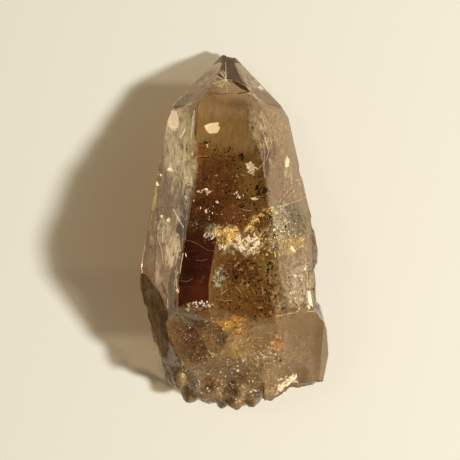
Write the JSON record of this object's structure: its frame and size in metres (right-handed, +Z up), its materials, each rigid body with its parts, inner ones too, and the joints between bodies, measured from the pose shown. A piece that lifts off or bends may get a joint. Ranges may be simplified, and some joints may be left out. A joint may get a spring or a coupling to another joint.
{
  "type": "lemurian quartz crystal",
  "caption": "Natural smoky quartz point lying on a prism face: tapering six-sided crystal with a faceted tip, ladder ledges, inclusions and a broken base.",
  "frame": {"origin": "under the middle of the crystal's bounding box, on the surface that it lies on", "axes": "+Y along the crystal towards its tip, +Z up from the prism face that it lies on, +X to its right"},
  "size_m": [0.0318, 0.061, 0.0242],
  "materials": {
    "smoky_quartz": "clear pale smoky quartz with bright natural faces, brown phantom and iron-stained inclusions, frosted where it broke"
  },
  "bodies": {
    "root": {"crystal": "smoky_quartz"}
  },
  "joints": []
}
